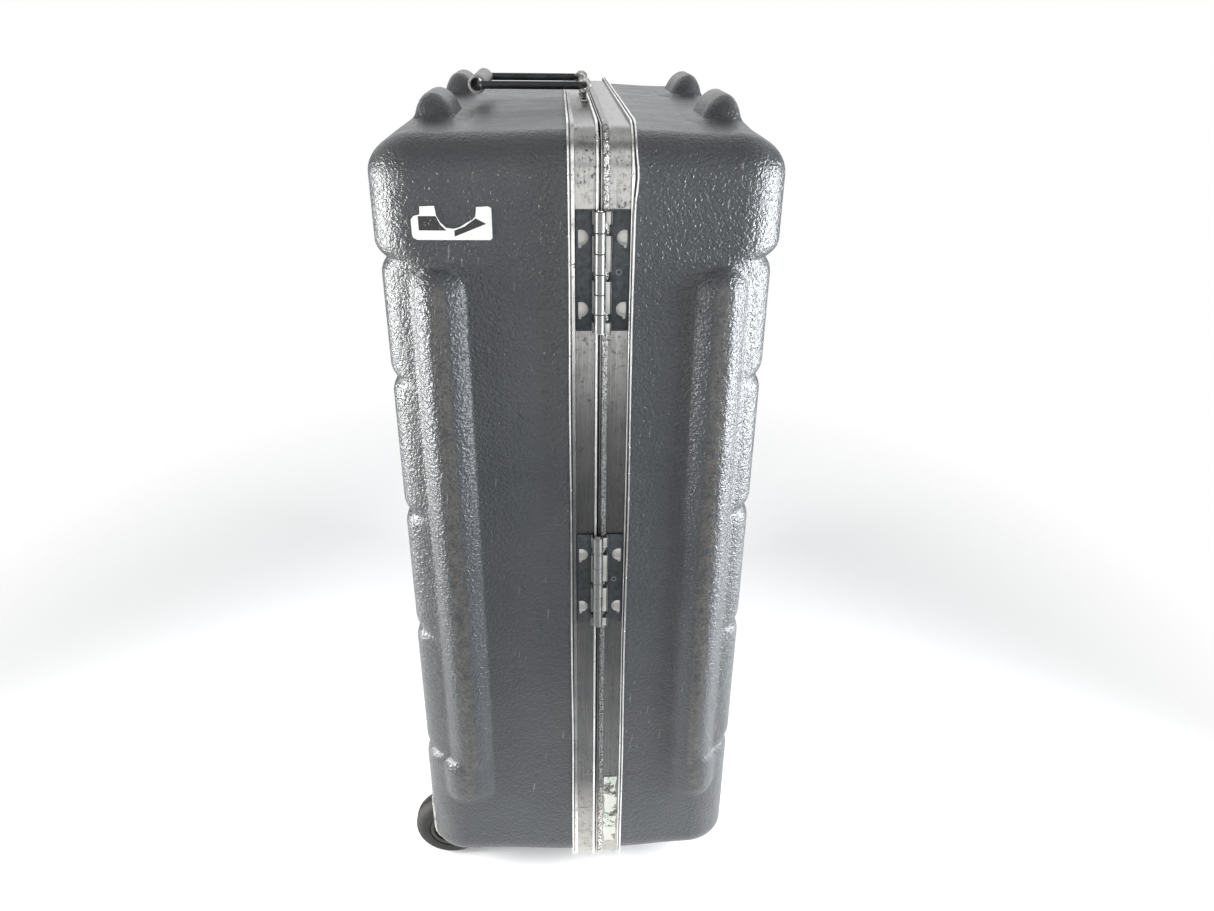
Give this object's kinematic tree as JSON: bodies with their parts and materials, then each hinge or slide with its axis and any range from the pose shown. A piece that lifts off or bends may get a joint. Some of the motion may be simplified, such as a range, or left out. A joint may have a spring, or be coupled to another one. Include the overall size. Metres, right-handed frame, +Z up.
{
  "type": "hard equipment case",
  "caption": "Upright two-half moulded equipment case in a bent metal closure, with hinges, folding tow handle, corner wheels, draw latches and carry handle.",
  "frame": {"origin": "middle of the case's footprint, on the floor it stands on", "axes": "+Z up along the case's length, +X from the deep base half towards the shallower lid half, +Y from the hinge side towards the latch side"},
  "size_m": [0.3906, 0.6062, 0.9115],
  "materials": {
    "shell_plastic": "semi-gloss grey thermoformed sheet with pebbled leather grain, scuffed crests",
    "closure_aluminium": "mill finish extrusion, scratched and pitted, bright lips",
    "zinc_plate": "dark blue-grey zinc plate, worn bright on bends and rivet heads",
    "bright_steel": "plain bright steel",
    "dark_steel": "dark plated bar, dull",
    "grip_tube": "light grey dull tube, grimy",
    "grip_rubber": "black moulded rubber",
    "hub_plastic": "dark brown-black moulded hub",
    "tyre_rubber": "dark brown-black rubber, dusty",
    "gasket_rubber": "black seal strip",
    "lining_foam": "charcoal open-cell foam",
    "label_paper": "torn printed label, white with plain black blocks"
  },
  "bodies": {
    "base": {"base_shell": "shell_plastic", "base_closure": "closure_aluminium", "gasket": "gasket_rubber", "base_splice_plate": "closure_aluminium", "upper_hinge_base_leaf": "zinc_plate", "upper_hinge_pin": "bright_steel", "middle_hinge_base_leaf": "zinc_plate", "middle_hinge_pin": "bright_steel", "tow_bracket_near": "dark_steel", "tow_bracket_far": "dark_steel", "carry_bracket_upper": "zinc_plate", "carry_bracket_lower": "zinc_plate", "near_wheel_well": "bright_steel", "near_wheel_axle": "bright_steel", "far_wheel_well": "bright_steel", "far_wheel_axle": "bright_steel", "upper_latch_plate": "zinc_plate", "lower_latch_plate": "zinc_plate", "base_foam": "lining_foam", "shell_label": "label_paper"},
    "lid": {"lid_shell": "shell_plastic", "lid_closure": "closure_aluminium", "lid_splice_plate": "closure_aluminium", "upper_hinge_lid_leaf": "zinc_plate", "middle_hinge_lid_leaf": "zinc_plate", "upper_latch_keeper": "zinc_plate", "lower_latch_keeper": "zinc_plate", "lid_foam": "lining_foam", "closure_label": "label_paper"},
    "tow_handle": {"tow_handle_rod": "dark_steel", "tow_handle_grip": "grip_tube"},
    "carry_handle": {"carry_handle_rod": "dark_steel", "carry_handle_grip": "grip_rubber"},
    "near_wheel": {"near_wheel_hub": "hub_plastic", "near_wheel_tyre": "tyre_rubber"},
    "far_wheel": {"far_wheel_hub": "hub_plastic", "far_wheel_tyre": "tyre_rubber"},
    "upper_lever": {"upper_latch_lever": "zinc_plate"},
    "upper_hook": {"upper_latch_hook": "bright_steel"},
    "lower_lever": {"lower_latch_lever": "zinc_plate"},
    "lower_hook": {"lower_latch_hook": "bright_steel"}
  },
  "joints": [
    {"name": "lid_hinge", "type": "hinge", "parent": "base", "child": "lid", "pos_m": [0.02925, -0.29885, 0.4517], "axis": [0, 0, -1], "range_deg": [0, 105]},
    {"name": "tow_handle_fold", "type": "hinge", "parent": "base", "child": "tow_handle", "pos_m": [0.02225, -0.00445, 0.90223], "axis": [0, 1, 0], "range_deg": [0, 120]},
    {"name": "carry_handle_fold", "type": "hinge", "parent": "base", "child": "carry_handle", "pos_m": [0.01675, 0.29405, 0.45173], "axis": [0, 0, -1], "range_deg": [0, 100]},
    {"name": "near_wheel_spin", "type": "hinge", "parent": "base", "child": "near_wheel", "pos_m": [-0.15025, -0.23995, 0.045], "axis": [0, 1, 0], "continuous": true},
    {"name": "far_wheel_spin", "type": "hinge", "parent": "base", "child": "far_wheel", "pos_m": [-0.15025, 0.23105, 0.045], "axis": [0, 1, 0], "continuous": true},
    {"name": "upper_latch_lift", "type": "hinge", "parent": "base", "child": "upper_lever", "pos_m": [0.01725, 0.28655, 0.70173], "axis": [0, 0, -1], "range_deg": [0, 100]},
    {"name": "upper_hook_swing", "type": "hinge", "parent": "upper_lever", "child": "upper_hook", "pos_m": [0.00925, 0.28805, 0.70173], "axis": [0, 0, -1], "range_deg": [-100, 0]},
    {"name": "lower_latch_lift", "type": "hinge", "parent": "base", "child": "lower_lever", "pos_m": [0.01725, 0.28655, 0.20173], "axis": [0, 0, -1], "range_deg": [0, 100]},
    {"name": "lower_hook_swing", "type": "hinge", "parent": "lower_lever", "child": "lower_hook", "pos_m": [0.00925, 0.28805, 0.20173], "axis": [0, 0, -1], "range_deg": [-100, 0]}
  ],
  "couplings": [
    {"joint": "upper_hook_swing", "follows": "upper_latch_lift", "ratio": -1},
    {"joint": "lower_hook_swing", "follows": "lower_latch_lift", "ratio": -1}
  ]
}
